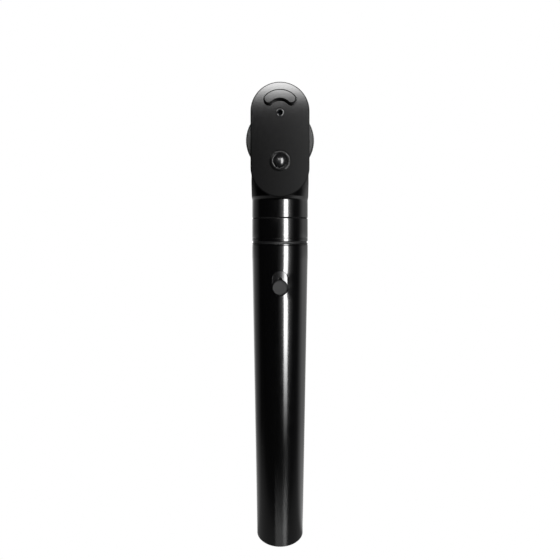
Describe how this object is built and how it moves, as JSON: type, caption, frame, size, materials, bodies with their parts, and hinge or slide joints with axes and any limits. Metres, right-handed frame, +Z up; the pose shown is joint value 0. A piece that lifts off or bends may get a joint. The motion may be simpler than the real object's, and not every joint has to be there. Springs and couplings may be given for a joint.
{
  "type": "pocket ophthalmoscope",
  "caption": "Pocket ophthalmoscope: battery handle with a slide switch, screwed collar, and a sight head with lens wheel, aperture wheel, lamp, mirror and brow pad.",
  "frame": {"origin": "centre of the handle's flat end, where the instrument stands", "axes": "+Z up the handle, -Y the examiner's side with the sight hole and the switch, +Y the patient's side, +X to the examiner's right"},
  "size_m": [0.0236, 0.026, 0.162],
  "materials": {
    "gloss_black": "deep gloss black lacquer",
    "satin_black": "satin black paint",
    "switch_grey": "dark grey, fine cross grain",
    "pad_rubber": "smooth matt black",
    "bezel_black": "gloss black",
    "smoked_dome": "smoked, polished",
    "wheel_black": "matt black, ribbed rim",
    "inner_black": "matt black",
    "insulator_white": "off-white",
    "mark_white": "white print",
    "cell_jacket": "plain printed jacket, plain metal ends",
    "spring_steel": "bright wire",
    "contact_brass": "bright strip",
    "plated_steel": "nickel plated",
    "screw_steel": "black oxide",
    "lamp_glass": "clear",
    "filament": "tungsten wire",
    "clear_glass": "polished, coated",
    "green_glass": "red-free green",
    "mirror_face": "front-silvered"
  },
  "bodies": {
    "handle": {"handle_tube": "gloss_black", "spring_cup": "contact_brass", "battery_spring": "spring_steel", "battery_lower": "cell_jacket", "battery_upper": "cell_jacket", "contact_strip_lower": "contact_brass", "contact_strip_upper": "contact_brass", "threaded_spigot": "plated_steel", "trim_ring": "gloss_black"},
    "head": {"aperture_pin": "plated_steel", "axle_nut": "plated_steel", "brow_pad": "pad_rubber", "condenser_lens": "clear_glass", "contact_insulator": "insulator_white", "contact_plunger": "contact_brass", "cover_screws": "screw_steel", "detent_ball": "spring_steel", "detent_spring": "spring_steel", "display_bezel": "bezel_black", "display_lens": "smoked_dome", "front_plate": "satin_black", "head_housing": "gloss_black", "keeper_ring": "plated_steel", "lamp_base": "plated_steel", "lamp_bulb": "lamp_glass", "lamp_filament": "filament", "lamp_sleeve": "contact_brass", "mirror": "mirror_face", "optics_carrier": "inner_black", "plunger_spring": "spring_steel", "projection_lens": "clear_glass", "rear_cover": "satin_black", "sight_tube": "inner_black", "wheel_axle": "plated_steel", "window_glass": "clear_glass"},
    "nut": {"union_nut": "gloss_black"},
    "switch": {"switch_button": "switch_grey", "slider_plate": "inner_black", "bridge_contact": "contact_brass"},
    "lens_disc": {"lens_wheel": "wheel_black", "wheel_lenses": "clear_glass", "lens_keeper": "inner_black", "power_marks": "mark_white"},
    "aperture_disc": {"aperture_wheel": "wheel_black", "filter_glass": "green_glass"}
  },
  "joints": [
    {"name": "head_lift", "type": "slide", "parent": "handle", "child": "head", "axis": [0, 0, 1], "range_m": [0, 0.004]},
    {"name": "nut_turn", "type": "hinge", "parent": "head", "child": "nut", "pos_m": [0, 0, 0.112], "axis": [0, 0, 1], "range_deg": [0, 1440]},
    {"name": "switch_slide", "type": "slide", "parent": "handle", "child": "switch", "axis": [0, 0, 1], "range_m": [0, 0.0028]},
    {"name": "lens_turn", "type": "hinge", "parent": "head", "child": "lens_disc", "pos_m": [0, -0.00945, 0.1423], "axis": [0, 1, 0], "continuous": true},
    {"name": "aperture_turn", "type": "hinge", "parent": "head", "child": "aperture_disc", "pos_m": [0, 0.0045, 0.1327], "axis": [0, 0, 1], "continuous": true}
  ],
  "couplings": [
    {"joint": "nut_turn", "follows": "head_lift", "rad_per_m": 6283.2}
  ]
}
